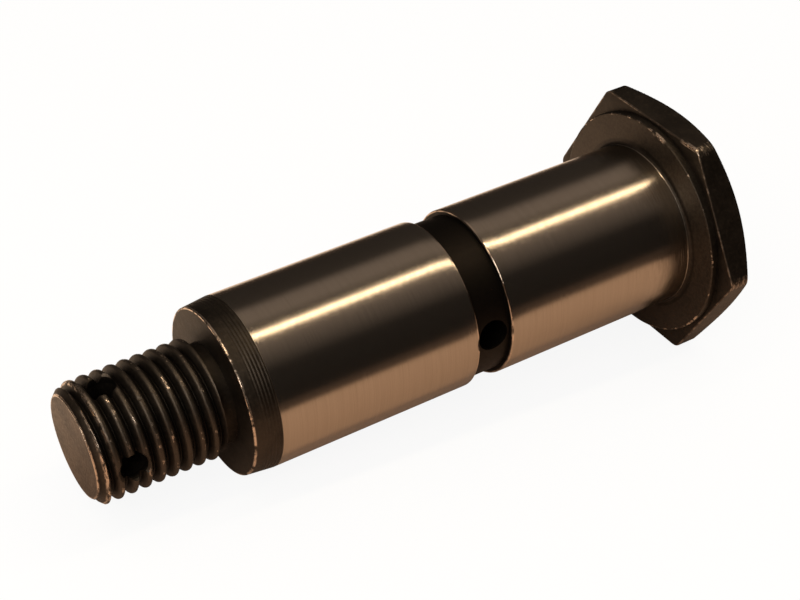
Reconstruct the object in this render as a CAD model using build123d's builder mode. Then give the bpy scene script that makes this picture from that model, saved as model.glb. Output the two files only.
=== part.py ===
from build123d import *
from math import atan2, ceil, cos, degrees, radians, tan
import os

# Hex-headed greased pivot pin, turned from one bar, in millimetres.
# It is drawn upright on the Z axis, head down, with Z = 0 in the middle of the
# grease groove, and laid down at the end.

# Driving dimensions: bearing length
journal_diameter = 32.0
journal_length = 40.0
groove_width = 7.0
groove_depth = 1.0
edge_break = 0.25
under_head_fillet = 0.8

# Driving dimensions: tapered land and threaded end
land_length = 5.0
land_taper = 0.5
thread_diameter = 21.7
thread_pitch = 2.5
threaded_length = 25.8
relief_width = 2.5
root_clearance = 0.1

# Driving dimensions: head
across_flats = 46.0
washer_face_inset = 0.75
washer_face_height = 1.5
hex_height = 6.3
rear_face_inset = 1.0
rear_chamfer_angle = 30.0

# Driving dimensions: drillings
split_pin_hole_diameter = 5.0
split_pin_hole_from_tip = 6.4
split_pin_hole_turn = 1.5
grease_hole_diameter = 6.0
grease_hole_turn = 4.5
passage_diameter = 5.0
drill_overrun = 1.0
port_diameter = 9.0
port_depth = 12.0
countersink_depth = 0.7
countersink_angle = 90.0

# Radii and heights of the bearing length and the head
journal_radius = journal_diameter / 2
groove_radius = journal_radius - groove_depth
groove_edge = groove_width / 2
journal_end = groove_edge + journal_length
shoulder = journal_end + land_length
tip = shoulder + threaded_length
seat = -(journal_end + under_head_fillet)
hex_front = seat - washer_face_height
hex_rear = hex_front - hex_height
flat_radius = across_flats / 2
bar_radius = flat_radius / cos(radians(30)) + edge_break
washer_face_radius = flat_radius - washer_face_inset
rear_face_radius = flat_radius - rear_face_inset
rear_chamfer_height = (bar_radius - rear_face_radius) * tan(radians(rear_chamfer_angle))

# Metric thread form: a 60 degree groove that leaves an eighth of the pitch at each crest
thread_radius = thread_diameter / 2
thread_depth = 0.6134 * thread_pitch
thread_root_radius = thread_radius - thread_depth
root_half_width = thread_pitch / 12
cutter_radius = thread_radius + root_clearance
cutter_half_width = root_half_width + (cutter_radius - thread_root_radius) * tan(radians(30))
relief_radius = thread_root_radius - root_clearance
relief_end = shoulder + relief_width
tip_chamfer = thread_radius - relief_radius


def drilling_at(height, turn, radius):
    """Plane that faces straight out of the pin where a drill enters it."""
    outward = Vector(0, -1, 0).rotate(Axis.Z, turn)
    return Plane(origin=outward * radius + Vector(0, 0, height), x_dir=(0, 0, 1), z_dir=outward)


def groove_turn(height, turn):
    """Corner edges of one turn of the thread groove, climbing from a height and a turn."""
    corners = (
        (-root_half_width, thread_root_radius),
        (root_half_width, thread_root_radius),
        (cutter_half_width, cutter_radius),
        (-cutter_half_width, cutter_radius),
    )
    outward = Vector(0, -1, 0).rotate(Axis.Z, turn)
    edges = []
    for offset, radius in corners:
        start = Plane(origin=(0, 0, height + offset), x_dir=outward, z_dir=(0, 0, 1))
        helix = Edge.make_helix(pitch=thread_pitch, height=thread_pitch, radius=radius)
        edges.append(helix.moved(start.location))
    return edges


def rings_at(part, height, radius):
    """Circular edges of a turned part at a height and radius, to a millionth."""
    rings = part.edges().filter_by(GeomType.CIRCLE)
    at_height = rings.filter_by(lambda ring: round(ring.arc_center.Z - height, 6) == 0)
    return at_height.filter_by(lambda ring: round(ring.radius - radius, 6) == 0)


with BuildPart() as upright_pin:
    # Hexagon of the head, its rear corners turned off at an angle
    with BuildSketch(Plane.XY.offset(hex_rear)):
        RegularPolygon(radius=flat_radius, side_count=6, major_radius=False, rotation=30)
    extrude(amount=hex_height)
    with BuildSketch(Plane.XZ):
        with BuildLine():
            Polyline(
                (0, hex_front),
                (bar_radius, hex_front),
                (bar_radius, hex_rear + rear_chamfer_height),
                (rear_face_radius, hex_rear),
                (0, hex_rear),
                close=True,
            )
        make_face()
    revolve(axis=Axis.Z, mode=Mode.INTERSECT)

    # Turned outline from the washer face to the tip
    with BuildSketch(Plane.XZ):
        with BuildLine():
            Polyline(
                (0, hex_front),
                (washer_face_radius, hex_front),
                (washer_face_radius, seat),
                (journal_radius, seat),
                (journal_radius, -groove_edge),
                (groove_radius, -groove_edge),
                (groove_radius, groove_edge),
                (journal_radius, groove_edge),
                (journal_radius, journal_end),
                (journal_radius - land_taper, shoulder),
                (relief_radius, shoulder),
                (relief_radius, relief_end),
                (thread_radius, relief_end),
                (thread_radius, tip),
                (0, tip),
                close=True,
            )
        make_face()
    revolve(axis=Axis.Z)

    # Fillet under the head, broken edges and the lead-in of the thread
    fillet(rings_at(upright_pin, seat, journal_radius), radius=under_head_fillet)
    broken = (
        rings_at(upright_pin, seat, washer_face_radius)
        + rings_at(upright_pin, -groove_edge, journal_radius)
        + rings_at(upright_pin, groove_edge, journal_radius)
        + rings_at(upright_pin, shoulder, journal_radius - land_taper)
    )
    chamfer(broken, length=edge_break)
    chamfer(rings_at(upright_pin, tip, thread_radius), length=tip_chamfer)

    # Right-hand thread, a groove cut turn by turn from the relief until it runs out at the tip
    cut_start = shoulder + relief_width / 2
    cut_turns = ceil((tip + cutter_half_width - cut_start) / thread_pitch)
    start_turn = -360 * (tip - cut_start) / thread_pitch
    turns = [groove_turn(cut_start + turn * thread_pitch, start_turn) for turn in range(cut_turns)]
    walls = [
        Face.make_surface_from_curves(edges[side - 1], edges[side])
        for edges in turns
        for side in range(len(edges))
    ]
    start_face = Face(Wire.make_polygon([edge @ 0 for edge in turns[0]], close=True))
    end_face = Face(Wire.make_polygon([edge @ 1 for edge in turns[-1]], close=True))
    add(Solid(Shell(walls + [start_face, end_face])), mode=Mode.SUBTRACT)

    # Two split-pin holes that cross on the pin's axis, countersunk at all four mouths
    for quarter in range(4):
        turn = split_pin_hole_turn + 90 * quarter
        with Locations(drilling_at(tip - split_pin_hole_from_tip, turn, thread_radius)):
            CounterSinkHole(
                radius=split_pin_hole_diameter / 2,
                counter_sink_radius=split_pin_hole_diameter / 2 + countersink_depth,
                depth=thread_radius,
                counter_sink_angle=countersink_angle,
            )

    # Grease hole in the groove, countersunk until it bites into both journals
    with Locations(drilling_at(0, grease_hole_turn, journal_radius)):
        CounterSinkHole(
            radius=grease_hole_diameter / 2,
            counter_sink_radius=grease_hole_diameter / 2 + groove_depth,
            depth=journal_radius + passage_diameter / 2 + drill_overrun,
            counter_sink_angle=countersink_angle,
        )

    # Grease passage up the middle, and the port for its nipple in the head
    with Locations(Plane(origin=(0, 0, hex_rear), z_dir=(0, 0, -1))):
        Hole(radius=passage_diameter / 2, depth=grease_hole_diameter / 2 + drill_overrun - hex_rear)
        CounterSinkHole(
            radius=port_diameter / 2,
            counter_sink_radius=port_diameter / 2 + countersink_depth,
            depth=port_depth,
            counter_sink_angle=countersink_angle,
        )

# The pin lies tip to the left, on one flat of the head and the outer end of the front journal
rest_tilt = atan2(flat_radius - journal_radius, journal_end - hex_front)
pivot_pin = upright_pin.part.rotate(Axis.Y, -90 - degrees(rest_tilt))
pivot_pin.label = "pivot_pin"

os.makedirs("parts", exist_ok=True)
export_step(pivot_pin, "parts/pivot_pin.step")
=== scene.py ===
import bpy
import bmesh
from math import atan2, ceil, cos, pi, radians, sin, tan
from mathutils import Matrix, Vector


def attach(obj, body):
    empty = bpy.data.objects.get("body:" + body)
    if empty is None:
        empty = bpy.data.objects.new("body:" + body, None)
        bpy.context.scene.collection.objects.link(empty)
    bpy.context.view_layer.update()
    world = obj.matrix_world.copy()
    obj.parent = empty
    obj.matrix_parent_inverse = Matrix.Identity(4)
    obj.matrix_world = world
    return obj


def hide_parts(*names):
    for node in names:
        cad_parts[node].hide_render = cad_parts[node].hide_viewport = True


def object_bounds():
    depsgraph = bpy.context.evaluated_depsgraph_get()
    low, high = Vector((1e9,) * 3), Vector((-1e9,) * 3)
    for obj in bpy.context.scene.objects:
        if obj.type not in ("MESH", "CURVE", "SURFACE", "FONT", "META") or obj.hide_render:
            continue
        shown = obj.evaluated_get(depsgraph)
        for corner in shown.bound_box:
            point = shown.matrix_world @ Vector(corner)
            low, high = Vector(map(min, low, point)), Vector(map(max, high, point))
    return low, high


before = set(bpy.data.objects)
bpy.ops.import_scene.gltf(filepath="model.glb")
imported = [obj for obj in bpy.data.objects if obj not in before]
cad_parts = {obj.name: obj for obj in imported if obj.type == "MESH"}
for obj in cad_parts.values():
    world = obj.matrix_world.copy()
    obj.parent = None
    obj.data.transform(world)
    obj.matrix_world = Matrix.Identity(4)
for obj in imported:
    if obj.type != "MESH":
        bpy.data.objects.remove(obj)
cadLow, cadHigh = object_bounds()
mm = 0.001

# Sizes of the pin in millimetres. Stations run along it from the middle of the
# grease groove, up to the threaded tip and down to the head.
pin = {
    "journalRadius": 16.0,
    "journalLength": 40.0,
    "grooveWidth": 7.0,
    "grooveDepth": 1.0,
    "underHeadFillet": 0.8,
    "landLength": 5.0,
    "landTaper": 0.5,
    "threadRadius": 10.85,
    "threadPitch": 2.5,
    "threadDepth": 1.5335,
    "threadedLength": 25.8,
    "reliefWidth": 2.5,
    "reliefRadius": 9.2165,
    "flatRadius": 23.0,
    "barRadius": 26.81,
    "washerFaceRadius": 22.25,
    "washerFaceHeight": 1.5,
    "hexHeight": 6.3,
    "rearFaceRadius": 22.0,
    "rearChamferAngle": 30.0,
    "portRadius": 4.5,
    "portDepth": 12.0,
    "passageRadius": 2.5,
    "passageEnd": 4.0,
    "countersink": 0.7,
}
journal = pin["journalRadius"]
groove = journal - pin["grooveDepth"]
land = journal - pin["landTaper"]
washer = pin["washerFaceRadius"]
crest = pin["threadRadius"]
relief = pin["reliefRadius"]
grooveEdge = pin["grooveWidth"] / 2
journalEnd = grooveEdge + pin["journalLength"]
shoulder = journalEnd + pin["landLength"]
tip = shoulder + pin["threadedLength"]
reliefEnd = shoulder + pin["reliefWidth"]
seat = -(journalEnd + pin["underHeadFillet"])
hexFront = seat - pin["washerFaceHeight"]
hexRear = hexFront - pin["hexHeight"]
cornerRadius = pin["flatRadius"] / cos(pi / 6)
# the pin lies on one flat of its head and on the far end of the front journal
restTilt = atan2(pin["flatRadius"] - journal, journalEnd - hexFront)
layDown = Matrix.Rotation(-pi / 2 - restTilt, 4, "Y") @ Matrix.Scale(mm, 4)


# Node trees: a Wire is one socket, and sums on Wires add the Math nodes
def plug(tree, socket, value):
    if isinstance(value, Wire):
        tree.links.new(value.socket, socket)
    else:
        socket.default_value = value


def addNode(tree, kind, settings=(), sockets=(), out=0):
    node = tree.nodes.new(kind)
    for name, value in dict(settings).items():
        if name == "stops":
            while len(node.color_ramp.elements) < len(value):
                node.color_ramp.elements.new(0.5)
            for element, (place, colour) in zip(node.color_ramp.elements, value):
                element.position, element.color = place, colour
        else:
            setattr(node, name, value)
    for name, value in dict(sockets).items():
        plug(tree, node.inputs[name], value)
    return None if out is None else Wire(tree, node.outputs[out])


def parts(tree, vector):
    split = addNode(tree, "ShaderNodeSeparateXYZ", (), {0: vector})
    return [Wire(tree, out) for out in split.socket.node.outputs]


def addMath(tree, operation, *terms, clamp=False):
    sockets = dict(enumerate(terms))
    return addNode(tree, "ShaderNodeMath", {"operation": operation, "use_clamp": clamp}, sockets)


class Wire:
    def __init__(self, tree, socket):
        self.tree, self.socket = tree, socket

    def math(self, operation, *terms, clamp=False):
        return addMath(self.tree, operation, self, *terms, clamp=clamp)

    def __add__(self, other):
        return self.math("ADD", other)

    def __radd__(self, other):
        return self.math("ADD", other)

    def __sub__(self, other):
        return self.math("SUBTRACT", other)

    def __rsub__(self, other):
        return addMath(self.tree, "SUBTRACT", other, self)

    def __mul__(self, other):
        return self.math("MULTIPLY", other)

    def __rmul__(self, other):
        return self.math("MULTIPLY", other)

    def __truediv__(self, other):
        return self.math("DIVIDE", other)

    def __rtruediv__(self, other):
        return addMath(self.tree, "DIVIDE", other, self)

    def __gt__(self, other):
        return self.math("GREATER_THAN", other)

    def __abs__(self):
        return self.math("ABSOLUTE")

    def floor(self):
        return self.math("FLOOR")

    def fraction(self):
        return self.math("FRACT")

    def low(self, other):
        return self.math("MINIMUM", other)

    def high(self, other):
        return self.math("MAXIMUM", other)

    def clamped(self):
        return self.math("ADD", 0.0, clamp=True)

    def ramp(self, start, end):
        # 0 below start, 1 above end, smooth between; start may be the larger
        return addNode(self.tree, "ShaderNodeMapRange", {"interpolation_type": "SMOOTHSTEP"},
                       {"Value": self, "From Min": start, "From Max": end})


def newShapeTree(name, sizes):
    tree = bpy.data.node_groups.new(name, "GeometryNodeTree")
    tree.interface.new_socket("Geometry", in_out="INPUT", socket_type="NodeSocketGeometry")
    tree.interface.new_socket("Geometry", in_out="OUTPUT", socket_type="NodeSocketGeometry")
    for label, value in sizes.items():
        kind = "NodeSocketInt" if isinstance(value, int) else "NodeSocketFloat"
        tree.interface.new_socket(label, in_out="INPUT", socket_type=kind)
    given = tree.nodes.new("NodeGroupInput")
    return tree, {socket.name: Wire(tree, socket) for socket in given.outputs if socket.name}


def closeShapeTree(tree, shape, material):
    solid = addNode(tree, "GeometryNodeRealizeInstances", (), {"Geometry": shape})
    painted = addNode(tree, "GeometryNodeSetMaterial", (), {"Geometry": solid, "Material": material})
    addNode(tree, "NodeGroupOutput", (), {0: painted}, out=None)


def shapeMesh(points, tree, sizes):
    # one plain mesh from a row of points put through a tree
    mesh = bpy.data.meshes.new(tree.name)
    mesh.from_pydata(points, [(i, i + 1) for i in range(len(points) - 1)], [])
    holder = bpy.data.objects.new(tree.name, mesh)
    bpy.context.scene.collection.objects.link(holder)
    modifier = holder.modifiers.new(tree.name, "NODES")
    modifier.node_group = tree
    for item in tree.interface.items_tree:
        if item.in_out == "INPUT" and item.name in sizes:
            modifier[item.identifier] = sizes[item.name]
    evaluated = holder.evaluated_get(bpy.context.evaluated_depsgraph_get())
    result = bpy.data.meshes.new_from_object(evaluated)
    holder.modifiers.remove(modifier)
    bpy.data.objects.remove(holder)
    return result


def gridRule(tree, columns, rows):
    # a grid whose points know their row number and their turn about the pin in
    # radians, with the columns drawn together towards the six corners
    grid = addNode(tree, "GeometryNodeMeshGrid", (), {
        "Size X": 1.0, "Size Y": 1.0, "Vertices X": columns + 1, "Vertices Y": rows})
    x, y, _ = parts(tree, addNode(tree, "GeometryNodeInputPosition"))
    row = ((y + 0.5) * (rows - 1)).math("ROUND")
    sixths = (x + 0.5) * 6 + 0.00001  # the small step keeps a column on its own side
    side = sixths.floor()
    fromFlat = ((sixths.fraction() * 2 - 1) * (pi / 2)).math("SINE") * (pi / 6)
    turn = (side + 0.5) * (pi / 3) + fromFlat
    return grid, row, turn, abs(fromFlat)


# millimetres, well under the finest edge
mergeDistance = 0.0004
sliverDistance = 0.0005
seamDistance = 0.0006


def wrapGrid(tree, mesh, station, radius, turn):
    spot = addNode(tree, "ShaderNodeCombineXYZ", (), {
        "X": radius * turn.math("SINE"), "Y": radius * turn.math("COSINE") * -1, "Z": station})
    placed = addNode(tree, "GeometryNodeSetPosition", (), {"Geometry": mesh, "Position": spot})
    return addNode(tree, "GeometryNodeMergeByDistance", (), {"Geometry": placed, "Distance": mergeDistance})


def latheTree(material):
    # turns a row of points (station, radius, inset from the hexagon) about the axis
    sizes = {"Columns": 1, "Flat Radius": 1.0, "Corner Radius": 1.0}
    tree, size = newShapeTree("latheTurned", sizes)
    profile = size["Geometry"]
    rows = addNode(tree, "GeometryNodeAttributeDomainSize", (), {"Geometry": profile})
    mesh, row, turn, fromFlat = gridRule(tree, size["Columns"], rows)
    place = addNode(tree, "GeometryNodeInputPosition")
    point = addNode(tree, "GeometryNodeSampleIndex", {"data_type": "FLOAT_VECTOR"},
                    {"Geometry": profile, "Value": place, "Index": row})
    station, radius, inset = parts(tree, point)
    flat = size["Flat Radius"] - inset
    corner = size["Corner Radius"]
    reach = (flat - corner) / cos(pi / 6)  # axis to the middle of a corner's rounding
    fromCorner = pi / 6 - fromFlat
    aside = reach * fromCorner.math("SINE")
    rounded = reach * fromCorner.math("COSINE") + (corner * corner - aside * aside).high(0.0).math("SQRT")
    onCorner = fromFlat > ((flat - corner) * tan(pi / 6) / flat).math("ARCTANGENT")
    hexagon = onCorner * rounded + (1 - onCorner) * (flat / fromFlat.math("COSINE"))
    closeShapeTree(tree, wrapGrid(tree, mesh, station, radius.low(hexagon), turn), material)
    return tree


def threadTree(material):
    # rows that climb with the thread, held between the relief and the tip
    sizes = {"Columns": 1, "Rows": 1, "Rows Per Pitch": 1, "Pitch": 1.0, "Crest Radius": 1.0,
             "Depth": 1.0, "Flank": 1.0, "Crown": 1.0, "Relief Radius": 1.0, "Start": 1.0, "Tip": 1.0,
             "Nick Depth": 1.0, "Nick Seed": 1.0}
    tree, size = newShapeTree("threadCut", sizes)
    mesh, row, turn, fromFlat = gridRule(tree, size["Columns"], size["Rows"])
    pitch, tipStation = size["Pitch"], size["Tip"]
    turns = turn / (2 * pi)
    climb = (row - (size["Rows"] - 1)) / size["Rows Per Pitch"] + turns
    station = (tipStation + climb * pitch).high(size["Start"]).low(tipStation)
    phase = (station - tipStation) / pitch - turns + 0.5
    fromGroove = abs(phase.fraction() - 0.5) * pitch
    root = size["Crest Radius"] - size["Depth"]
    fromCrest = pitch / 2 - fromGroove
    rounded = size["Crest Radius"] - fromCrest * fromCrest * size["Crown"]
    form = (root + (fromGroove - pitch / 24).high(0.0) * size["Flank"]).low(rounded)
    spot = addNode(tree, "ShaderNodeCombineXYZ", (), {
        "X": turn.math("SINE") * 10, "Y": turn.math("COSINE") * 10, "Z": station})  # near the crests
    dents = addNode(tree, "ShaderNodeTexNoise", {"noise_dimensions": "4D"},
                    {"Vector": spot, "W": size["Nick Seed"], "Scale": 0.9, "Detail": 3.0})
    onCrest = (form - root) / size["Depth"]
    worn = form - dents.ramp(0.56, 0.74) * onCrest.ramp(0.75, 1.0) * size["Nick Depth"]
    leadIn = size["Relief Radius"] + (tipStation - station)
    onWall = 1 - (row > 0.5)
    radius = onWall * size["Relief Radius"] + (1 - onWall) * worn.low(leadIn)
    closeShapeTree(tree, wrapGrid(tree, mesh, station, radius, turn), material)
    return tree


def arc(station, radius, size, start, end, steps):
    # rounding of an edge about a centre, angles from straight out, positive to the tip
    angles = [radians(start + (end - start) * i / steps) for i in range(steps + 1)]
    return [(station + size * sin(a), radius + size * cos(a), 0.0) for a in angles]


def straight(first, last, count):
    return [tuple(a + (b - a) * i / count for a, b in zip(first, last)) for i in range(1, count)]


# Turned outline
finish = {
    "columns": 240,  # round the pin
    "journalRows": 12,
    "hexRows": 6,
    "chamferRows": 44,
    "faceRows": 6,
    "edgeRound": 0.25,
    "fineEdge": 0.12,
    "hexEdge": 0.16,
    "hexCorner": 2.4,
    "rowsPerPitch": 16,
    "flank": 1.9,  # rise of the thread's sides for each millimetre along
    "crown": 0.9,  # how fast a crest falls away from its middle
    "nickDepth": 0.16,
    "nickSeed": 4.0,
    "sharpAngle": 28,  # degrees between faces, above which an edge stays sharp
}


def turnedOutline():
    e, f, h = finish["edgeRound"], finish["fineEdge"], finish["hexEdge"]
    rows = [(reliefEnd, relief, 0.0), (shoulder, relief, 0.0)]
    rows += arc(shoulder - e, land - e, e, 90, 4, 5)  # ends along the taper of the land
    rows += [(journalEnd, journal, 0.0)]
    rows += straight((journalEnd, journal, 0), (grooveEdge, journal, 0), finish["journalRows"])
    rows += arc(grooveEdge + e, journal - e, e, 0, -90, 4)
    rows += [(grooveEdge, groove, 0.0), (-grooveEdge, groove, 0.0)]
    rows += arc(-grooveEdge - e, journal - e, e, 90, 0, 4)
    rows += straight((-grooveEdge, journal, 0), (seat, journal, 0), finish["journalRows"])
    u = pin["underHeadFillet"]
    rows += [(s, r, 0.0) for s, r, _ in arc(seat + u, journal + u, -u, 0, 90, 6)]
    rows += arc(seat - e, washer - e, e, 90, 0, 4)
    rows += [(hexFront, washer, 0.0)]
    # front of the hexagon, its edge rounded by drawing the hexagon in
    bar, rear = pin["barRadius"], pin["rearFaceRadius"]
    for i in range(5):
        a = radians(90 * i / 4)
        rows.append((hexFront - h * (1 - cos(a)), bar, h * (1 - sin(a))))
    chamferTop = hexRear + (bar - rear) * tan(radians(pin["rearChamferAngle"]))
    rows += straight((hexFront - h, bar, 0), (chamferTop, bar, 0), finish["hexRows"])
    rows += [(chamferTop, bar, 0.0)]
    rows += straight((chamferTop, bar, 0), (hexRear, rear, 0), finish["chamferRows"])
    rows += arc(hexRear + f, rear - f, f, 120, 180, 3)
    port, sink = pin["portRadius"], pin["countersink"]
    bottom, passage, end = hexRear + pin["portDepth"], pin["passageRadius"], pin["passageEnd"]
    rows += [(hexRear, port + sink, 0.0), (hexRear + sink, port, 0.0), (bottom, port, 0.0)]
    rows += [(bottom, passage, 0.0), (end, passage, 0.0), (end, 0.0, 0.0)]
    return rows


def meshParts(meshes):
    # joins meshes, closes the seams between them and turns their faces outwards
    work = bmesh.new()
    for mesh in meshes:
        work.from_mesh(mesh)
    bmesh.ops.remove_doubles(work, verts=work.verts, dist=seamDistance)
    bmesh.ops.dissolve_degenerate(work, edges=work.edges, dist=sliverDistance)
    bmesh.ops.recalc_face_normals(work, faces=work.faces)
    joined = bpy.data.meshes.new("joined")
    work.to_mesh(joined)
    print("  open edges:", sum(not edge.is_manifold for edge in work.edges))
    work.free()
    return joined


def drill(lathe, radius, sink, depth, height, turn, outer):
    # a drill with its countersink, pointing out of the pin at a station and turn
    past = drillings["past"]
    rows = [(-depth, 0.0, 0.0), (-depth, radius, 0.0), (outer - sink, radius, 0.0),
            (outer + past, radius + sink + past, 0.0), (outer + past, 0.0, 0.0)]
    plain = {"Columns": drillings["columns"], "Flat Radius": 500.0, "Corner Radius": 1.0}  # no hexagon near
    mesh = shapeMesh(rows, lathe, plain)
    out = Vector((sin(turn), -cos(turn), 0))
    mesh.transform(Matrix.Translation((0, 0, height)) @ out.to_track_quat("Z", "X").to_matrix().to_4x4())
    return mesh


drillings = {
    "splitPinRadius": 2.5,
    "splitPinFromTip": 6.4,
    "splitPinTurn": 1.5,
    "splitPinSink": 0.7,
    "splitPinPast": 0.5,  # past the axis, so that the drillings meet
    "greaseRadius": 3.0,
    "greaseTurn": 4.5,
    "greaseSink": 1.0,
    "greasePast": 3.5,
    "past": 2.0,  # cutters stand out of the pin by this much
    "columns": 48,
}


def makeBlank(lathe, thread):
    plain = {"Columns": finish["columns"], "Flat Radius": pin["flatRadius"],
             "Corner Radius": finish["hexCorner"]}
    steps = finish["rowsPerPitch"]
    length = tip - reliefEnd + pin["threadPitch"]
    rows = ceil(length / pin["threadPitch"] * steps) + 2
    threaded = shapeMesh([(0, 0, 0)], thread, {
        "Columns": finish["columns"], "Rows": rows, "Rows Per Pitch": steps, "Pitch": pin["threadPitch"],
        "Crest Radius": crest, "Depth": pin["threadDepth"], "Flank": finish["flank"],
        "Crown": finish["crown"], "Relief Radius": relief, "Start": reliefEnd, "Tip": tip,
        "Nick Depth": finish["nickDepth"], "Nick Seed": finish["nickSeed"]})
    body = shapeMesh(turnedOutline(), lathe, plain)
    faceRows = finish["faceRows"]
    face = [(tip, relief * i / faceRows, 0.0) for i in range(faceRows + 1)]
    end = shapeMesh(face, lathe, plain)
    return meshParts([body, threaded, end])


def makeDrills(lathe):
    # four split-pin drills, two of them a little past the axis, and the grease drill
    station = tip - drillings["splitPinFromTip"]
    drills = []
    for quarter in range(4):
        turn = radians(drillings["splitPinTurn"] + 90 * quarter)
        past = drillings["splitPinPast"] * (quarter < 2)
        drills.append(drill(lathe, drillings["splitPinRadius"], drillings["splitPinSink"],
                            past, station, turn, crest))
    turn = radians(drillings["greaseTurn"])
    drills.append(drill(lathe, drillings["greaseRadius"], drillings["greaseSink"],
                        drillings["greasePast"], 0.0, turn, journal))
    return drills


def makePin(material):
    lathe, thread = latheTree(material), threadTree(material)
    blank = makeBlank(lathe, thread)
    print("pin turned:", len(blank.polygons), "faces")
    piece = bpy.data.objects.new("pivotPin", blank)
    bpy.context.scene.collection.objects.link(piece)
    helpers = []
    for mesh in makeDrills(lathe):
        cutter = bpy.data.objects.new("drill", meshParts([mesh]))
        bpy.context.scene.collection.objects.link(cutter)
        helpers.append(cutter)
        cut = piece.modifiers.new("drill", "BOOLEAN")
        cut.operation, cut.solver, cut.object = "DIFFERENCE", "EXACT", cutter
    drilled = bpy.data.meshes.new_from_object(piece.evaluated_get(bpy.context.evaluated_depsgraph_get()))
    piece.modifiers.clear()
    for helper in helpers:
        bpy.data.objects.remove(helper)
    drilled.transform(layDown)
    drilled.materials.clear()
    drilled.materials.append(material)
    drilled.shade_smooth()
    drilled.set_sharp_from_angle(angle=radians(finish["sharpAngle"]))
    drilled.name = "pivotPin"
    piece.data = drilled
    print("pin drilled:", len(drilled.polygons), "faces")
    return piece


# Steel of the pin: ground journals, the rest left dark from hardening
steel = {
    "ground": (0.41, 0.35, 0.285, 1.0),
    "groundLines": (0.27, 0.215, 0.165, 1.0),
    "dark": (0.034, 0.0275, 0.022, 1.0),
    "darkWorn": (0.080, 0.064, 0.050, 1.0),
    # near-black of the grease groove, also laid into the roots of the thread as painted shade
    "grooveBlackAndValleyShade": (0.018, 0.0145, 0.0115, 1.0),
    "turnedEnd": (0.150, 0.115, 0.088, 1.0),
    "bare": (0.66, 0.52, 0.41, 1.0),
    "rust": (0.23, 0.075, 0.025, 1.0),
    "groundRough": 0.17,
    "darkRough": 0.50,
    "edgeTint": (0.85, 0.85, 0.85, 1.0),
    "cornerNickTurn": 64.5,
    "washerNickTurn": 79.0,
    "markDepth": 0.04 * mm,  # of a mark of height 1
    "ridgeHeight": 2.6,
    "ridgeSpacing": 0.62,
    "ringHeight": 0.8,
    "chipHeight": -1.5,
}

# Patterns on the steel: features for each millimetre, detail, seed, stretch along x, y and the pin
patterns = {
    "blotch": (0.16, 4.0, 1.0, (1, 1, 1)),
    "grain": (1.6, 3.0, 2.0, (1, 1, 1)),
    "fine": (5.0, 2.0, 3.0, (1, 1, 1)),
    "aroundLines": (1.0, 3.0, 4.0, (0.05, 0.05, 5.0)),
    "coarseLines": (1.0, 2.0, 5.0, (0.03, 0.03, 1.6)),
    "knocks": (0.55, 3.0, 6.0, (1, 1, 1)),
    "chips": (1.1, 2.0, 7.0, (1, 1, 1)),
    "grindLines": (1.0, 2.0, 8.0, (0.08, 0.08, 11.0)),
    "scuffs": (1.4, 3.0, 9.0, (0.5, 0.5, 1.6)),
}

# Wear: where a pattern passes from none to full, so lower numbers wear more
wear = {
    "crests": (0.54, 0.66),
    "crestChips": (0.45, 0.60),
    "firstTurn": (0.43, 0.57),
    "endEdge": (0.42, 0.56),
    "shoulder": (0.40, 0.56),
    "grooveLip": (0.40, 0.55),
    "washerEdge": (0.52, 0.62),
    "washerChips": (0.40, 0.55),
    "hexEdge": (0.46, 0.66),
    "hexCorner": (0.50, 0.64),
    "nicks": (0.38, 0.50),
    "rustChips": (0.70, 0.76),
    "rustPatches": (0.52, 0.58),
}


def blendColour(tree, factor, first, second):
    return addNode(tree, "ShaderNodeMix", {"data_type": "RGBA"}, {0: factor, 6: first, 7: second}, out=2)


def near(value, middle, reach):
    return (abs(value - middle) / reach).ramp(1.0, 0.35)


class PinPlace:
    # where a point of the pin lies, taken back out of its lying position, and the patterns there
    def __init__(self, tree):
        self.tree = tree
        place = addNode(tree, "ShaderNodeTexCoord", out="Object")
        upright = addNode(tree, "ShaderNodeMapping", {"vector_type": "POINT"}, {
            "Vector": place, "Rotation": (0, pi / 2 + restTilt, 0), "Scale": (1 / mm, 1 / mm, 1 / mm)})
        x, y, self.station = parts(tree, upright)
        self.radius = (x * x + y * y).math("SQRT")
        self.turn = x.math("ARCTAN2", y * -1)
        for name, (scale, detail, seed, stretch) in patterns.items():
            spread = addNode(tree, "ShaderNodeVectorMath", {"operation": "MULTIPLY"},
                             {0: upright, 1: stretch})
            noise = addNode(tree, "ShaderNodeTexNoise", {"noise_dimensions": "4D"}, {
                "Vector": spread, "W": seed, "Scale": scale, "Detail": detail, "Roughness": 0.6})
            setattr(self, name, noise)
        self.faceRings = addNode(tree, "ShaderNodeTexNoise", {"noise_dimensions": "1D"},
                                 {"W": self.radius, "Scale": 3.2, "Detail": 2.0})

    def groundJournals(self):
        along = self.station.ramp(seat - 0.1, seat + 0.1) * (
            1 - self.station.ramp(journalEnd - 0.25, journalEnd - 0.05))
        outside = self.radius.ramp(journal - 0.18, journal - 0.07) * (
            1 - self.radius.ramp(journal + 0.02, journal + 0.12))
        return outside * along

    def tipFace(self):
        return self.station.ramp(tip - 0.12, tip - 0.03)

    def washerFace(self):
        return near(self.station, seat, 0.25) * self.radius.ramp(journal + 1.0, journal + 1.4)

    def thread(self):
        along = self.station.ramp(reliefEnd - 0.1, reliefEnd + 0.1)
        return along * self.radius.ramp(relief - 0.22, relief - 0.12)

    def greaseGroove(self):
        between = 1 - abs(self.station).ramp(grooveEdge - 0.02, grooveEdge + 0.06)
        return between * (1 - self.radius.ramp(journal - 0.25, journal - 0.05))


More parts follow.
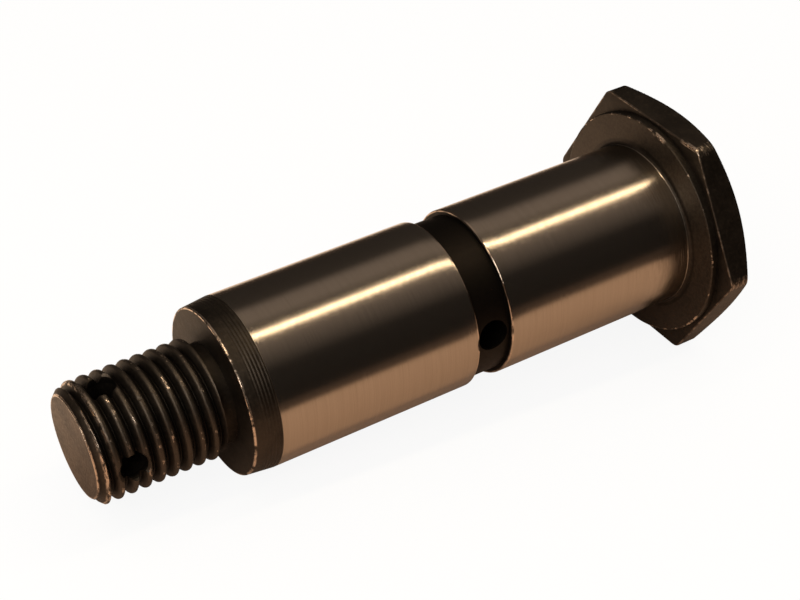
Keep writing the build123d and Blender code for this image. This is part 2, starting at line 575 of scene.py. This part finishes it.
def knockedThread(at):
    # thin bright lines on worn crests, scuffs on the first turn and round the end face
    phase = ((at.station - tip) / pin["threadPitch"] - at.turn / (2 * pi) + 0.5).fraction()
    crestLine = near(abs(phase - 0.5), 0.455, 0.05) * at.radius.ramp(crest - 0.35, crest - 0.15)
    crests = crestLine * at.thread()
    crests = crests * at.knocks.ramp(*wear["crests"]) * at.chips.ramp(*wear["crestChips"])
    firstTurn = at.station.ramp(tip - 3.4, tip - 2.6) * (1 - at.station.ramp(tip - 1.3, tip - 0.9))
    firstCrest = firstTurn * at.radius.ramp(crest - 0.75, crest - 0.4)
    tipEdge = near(at.station, tip, 0.3) * at.radius.ramp(relief - 0.27, relief - 0.07)
    scuffed = firstCrest * at.scuffs.ramp(*wear["firstTurn"]) * 0.9
    return crests.high(scuffed + tipEdge * (0.15 + at.scuffs.ramp(*wear["endEdge"]) * 0.8))


def knockedHead(at):
    washerEdge = near(at.station, seat, 0.35) * at.radius.ramp(washer - 0.4, washer - 0.2)
    bareWasher = washerEdge * at.knocks.ramp(*wear["washerEdge"]) * at.chips.ramp(*wear["washerChips"])
    sixth = (at.turn / (pi / 3) + 10).fraction() * 2 - 1
    acrossFlats = at.radius * (sixth * (pi / 6)).math("COSINE")
    flat = pin["flatRadius"]
    hexEdge = near(at.station, hexFront, 0.32) * acrossFlats.ramp(flat - 0.38, flat - 0.15)
    hexCorner = at.radius.ramp(cornerRadius - 0.76, cornerRadius - 0.56)
    bareHex = hexEdge * (at.knocks.ramp(*wear["hexEdge"]) * 0.4 + 0.08 + hexCorner * 0.3)
    bareCorner = hexCorner * at.scuffs.ramp(*wear["hexCorner"]) * 0.35
    cornerNick = near(at.station, hexFront, 0.7) * acrossFlats.ramp(flat - 0.8, flat - 0.5)
    cornerNick = cornerNick * near(at.turn, radians(steel["cornerNickTurn"]), 0.10)
    washerNick = near(at.station, seat, 0.6) * at.radius.ramp(washer - 0.85, washer - 0.55)
    washerNick = washerNick * near(at.turn, radians(steel["washerNickTurn"]), 0.09)
    nicks = cornerNick.high(washerNick) * at.scuffs.ramp(*wear["nicks"])
    return bareWasher + bareHex + bareCorner + nicks


def knockedEdges(at):
    # bare metal where edges have been knocked
    shoulderEdge = near(at.station, shoulder - 0.05, 0.42) * at.radius.ramp(land - 0.4, land - 0.25)
    grooveLip = near(abs(at.station), grooveEdge + 0.1, 0.3) * at.radius.ramp(journal - 0.45, journal - 0.2)
    bareShoulder = shoulderEdge * at.knocks.ramp(*wear["shoulder"])
    bareLip = grooveLip * (at.knocks.ramp(*wear["grooveLip"]) * 0.6 + 0.3)
    return (knockedThread(at) + bareShoulder + knockedHead(at) + bareLip).clamped()


def steelColour(at, ground, bare):
    tree = at.tree
    worn = at.blotch.ramp(0.35, 0.7) * 0.5 + at.grain.ramp(0.45, 0.75) * 0.35
    colour = blendColour(tree, worn, steel["dark"], steel["darkWorn"])
    crowns = at.radius.ramp(crest - 0.65, crest) * at.thread() * 0.85
    rubbed = crowns.high(at.washerFace() * (0.4 + at.grain.ramp(0.38, 0.62) * 0.5))
    colour = blendColour(tree, rubbed, colour, steel["darkWorn"])
    # roots of the thread darkened towards that near-black: painted shade in the creases of the thread
    shadedValleys = at.thread() * (1 - at.radius.ramp(crest - 1.35, crest - 0.75))
    colour = blendColour(tree, at.greaseGroove().high(shadedValleys * 0.8), colour, steel["grooveBlackAndValleyShade"])
    dulled = at.blotch.ramp(0.40, 0.62) * 0.45 + at.grain.ramp(0.38, 0.62) * 0.3
    dulled = dulled + at.faceRings.ramp(0.4, 0.65) * 0.2
    colour = blendColour(tree, at.tipFace() * (1 - dulled), colour, steel["turnedEnd"])
    rusty = at.chips.ramp(*wear["rustChips"]) * at.knocks.ramp(*wear["rustPatches"]) * (1 - ground) * 0.8
    colour = blendColour(tree, rusty, colour, steel["rust"])
    lines = at.aroundLines.ramp(0.35, 0.75) * 0.35 + at.fine.ramp(0.5, 0.8) * 0.12
    bright = blendColour(tree, lines, steel["ground"], steel["groundLines"])
    colour = blendColour(tree, ground, colour, bright)
    return blendColour(tree, bare, colour, steel["bare"])


def toolMarks(at, ground, bare):
    # heights of grinding lines, skin, face rings and the turned ridges beside the journal
    wave = (at.station * (2 * pi / steel["ridgeSpacing"])).math("SINE") * 0.5 + 0.5
    ridges = wave * at.station.ramp(journalEnd - 0.15, journalEnd + 0.1) * (
        1 - at.station.ramp(journalEnd + 2.2, journalEnd + 3.4))
    grinding = at.aroundLines * 0.25 + at.grindLines * 0.7 + at.fine * 0.05
    skin = at.coarseLines * 0.35 + at.grain * 0.6 + at.fine * 0.6
    rings = at.faceRings * at.tipFace().high(at.washerFace()) * steel["ringHeight"]
    chipped = bare * at.chips * steel["chipHeight"]
    return ground * grinding + (1 - ground) * skin + rings + ridges * steel["ridgeHeight"] + chipped


def pinSteel():
    material = bpy.data.materials.new("pinSteel")
    material.use_nodes = True
    tree = material.node_tree
    tree.nodes.clear()
    at = PinPlace(tree)
    ground, bare = at.groundJournals(), knockedEdges(at)
    darkRough = steel["darkRough"] + (at.grain - 0.5) * 0.25
    groundRough = steel["groundRough"] + (at.aroundLines - 0.5) * 0.10
    roughness = (1 - ground) * darkRough + ground * groundRough - bare * 0.3
    bump = addNode(tree, "ShaderNodeBump", (), {
        "Strength": 0.8, "Distance": steel["markDepth"], "Height": toolMarks(at, ground, bare)})
    shader = addNode(tree, "ShaderNodeBsdfPrincipled", (), {
        "Base Color": steelColour(at, ground, bare), "Roughness": roughness.clamped(), "Metallic": 1.0,
        "Normal": bump, "Specular Tint": steel["edgeTint"]})
    addNode(tree, "ShaderNodeOutputMaterial", (), {"Surface": shader}, out=None)
    print("steel ready:", len(tree.nodes), "nodes")
    return material


pivotPin = makePin(pinSteel())
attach(pivotPin, "root")
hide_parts("pivot_pin")

# Floor
floorSheet = {
    "size": 3.0,
    "colour": (0.84, 0.83, 0.81, 1.0),
    "whitened": 0.9,
    # colours the floor shows only in the steel: painted reflection, tan near the pin, lighter behind it and
    # dark further out
    "mirroredNear": (0.60, 0.42, 0.31, 1.0),
    "mirroredBehind": (1.0, 0.80, 0.64, 1.0),
    "mirroredFar": (0.07, 0.05, 0.04, 1.0),
    "mirroredReach": (0.085, 0.125),
    "behindReach": (0.0, 0.03),
}


def rayKinds(tree):
    # what the camera or glass sees, and what metal mirrors
    straightOn = addNode(tree, "ShaderNodeLightPath", out="Is Camera Ray")
    kinds = straightOn.socket.node.outputs
    return straightOn.high(Wire(tree, kinds["Is Transmission Ray"])), Wire(tree, kinds["Is Glossy Ray"])


def makeFloor():
    mesh = bpy.data.meshes.new("floor")
    half = floorSheet["size"] / 2
    corners = [(-half, -half), (half, -half), (half, half), (-half, half)]
    mesh.from_pydata([(x, y, cadLow.z) for x, y in corners], [], [(0, 1, 2, 3)])
    floor = bpy.data.objects.new("floor", mesh)
    bpy.context.scene.collection.objects.link(floor)
    paper = bpy.data.materials.new("paleFloor")
    paper.use_nodes = True
    tree = paper.node_tree
    tree.nodes.clear()
    seen, inMetal = rayKinds(tree)
    _, y, _ = parts(tree, addNode(tree, "ShaderNodeTexCoord", out="Object"))
    # what metal mirrors of the floor is painted reflection: lighter behind the pin, dark away from it
    behind, away = y.ramp(*floorSheet["behindReach"]), abs(y).ramp(*floorSheet["mirroredReach"])
    mirrored = blendColour(tree, behind, floorSheet["mirroredNear"], floorSheet["mirroredBehind"])
    mirrored = blendColour(tree, away, mirrored, floorSheet["mirroredFar"])
    colour = blendColour(tree, inMetal, floorSheet["colour"], mirrored)
    matt = addNode(tree, "ShaderNodeBsdfDiffuse", (), {"Color": colour})
    glow = addNode(tree, "ShaderNodeEmission", (), {"Color": (1, 1, 1, 1), "Strength": 1.0})
    mixed = addNode(tree, "ShaderNodeMixShader", (), {0: seen * floorSheet["whitened"], 1: matt, 2: glow})
    addNode(tree, "ShaderNodeOutputMaterial", (), {"Surface": mixed}, out=None)
    mesh.materials.append(paper)
    print("floor laid")


makeFloor()

# Studio light: a strip over the pin, a soft side lamp and a dim room round them
lamps = {
    "strip": {"spot": (0.0, -0.03, 0.55), "width": 1.9, "depth": 0.042, "power": 2.6,
              "colour": (1.0, 0.82, 0.58)},
    "softSide": {"spot": (-0.55, -0.35, 0.45), "width": 0.35, "depth": 0.35, "power": 2.2,
                 "colour": (1.0, 0.95, 0.88)},
}
room = {
    # height round the pin, from the camera's side over the top to the far side
    "bands": [(0.0, 0.015), (0.23, 0.02), (0.34, 0.15), (0.43, 0.22), (0.555, 0.08), (0.60, 0.30),
              (0.69, 0.30), (0.75, 0.05), (1.0, 0.04)],
    "tint": (1.0, 0.83, 0.70),
    "softLight": 0.75,
    "softTint": (1.0, 0.97, 0.93),
}


def makeLamps():
    # each lamp faces the pin, with its width level along it
    for name, lamp in lamps.items():
        light = bpy.data.lights.new(name, "AREA")
        light.shape, light.size, light.size_y = "RECTANGLE", lamp["width"], lamp["depth"]
        light.energy, light.color = lamp["power"], lamp["colour"]
        holder = bpy.data.objects.new(name, light)
        down = Vector(lamp["spot"]).normalized()
        side = Vector((1, 0, 0)) - down * down.x
        side.normalize()
        holder.matrix_world = Matrix.Translation(lamp["spot"]) @ Matrix(
            (side, down.cross(side), down)).transposed().to_4x4()
        bpy.context.scene.collection.objects.link(holder)
    print("lamps hung:", len(lamps))


def makeRoom():
    world = bpy.data.worlds.new("studio")
    world.use_nodes = True
    tree = world.node_tree
    tree.nodes.clear()
    seen, inMetal = rayKinds(tree)
    _, y, z = parts(tree, addNode(tree, "ShaderNodeTexCoord", out="Generated"))
    over = z.math("ARCTAN2", y * -1) / pi
    stops = [(place, tuple(level * part for part in room["tint"]) + (1.0,)) for place, level in room["bands"]]
    bands = addNode(tree, "ShaderNodeValToRGB", {"stops": stops}, {0: over})
    soft = tuple(room["softLight"] * part for part in room["softTint"]) + (1.0,)
    colour = blendColour(tree, inMetal, soft, bands)
    colour = blendColour(tree, seen, colour, (1.0, 1.0, 1.0, 1.0))
    sky = addNode(tree, "ShaderNodeBackground", (), {"Color": colour, "Strength": 1.0})
    addNode(tree, "ShaderNodeOutputWorld", (), {"Surface": sky}, out=None)
    bpy.context.scene.world = world
    print("room lit")


makeLamps()
makeRoom()

# Camera
camera = {
    "eye": (-0.15099, -0.20663, 0.17759),
    "azimuth": -34.18,
    "elevation": 34.99,
    "roll": 3.5,
    "lens": 76.0,
    "shift": (0.0014, 0.0023),
}


def makeCamera():
    data = bpy.data.cameras.new("camera")
    data.lens, data.sensor_width = camera["lens"], 36.0
    data.shift_x, data.shift_y = camera["shift"]
    data.clip_start, data.clip_end = 0.01, 10.0
    holder = bpy.data.objects.new("camera", data)
    azimuth, elevation, roll = (radians(camera[name]) for name in ("azimuth", "elevation", "roll"))
    back = Vector((sin(azimuth) * cos(elevation), -cos(azimuth) * cos(elevation), sin(elevation)))
    level = Vector((cos(azimuth), sin(azimuth), 0))
    right = level * cos(roll) + back.cross(level) * sin(roll)
    up = back.cross(right)
    holder.matrix_world = Matrix.Translation(camera["eye"]) @ Matrix((right, up, back)).transposed().to_4x4()
    bpy.context.scene.collection.objects.link(holder)
    bpy.context.scene.camera = holder
    print("camera set")


makeCamera()
bpy.context.scene.view_settings.view_transform = "Standard"
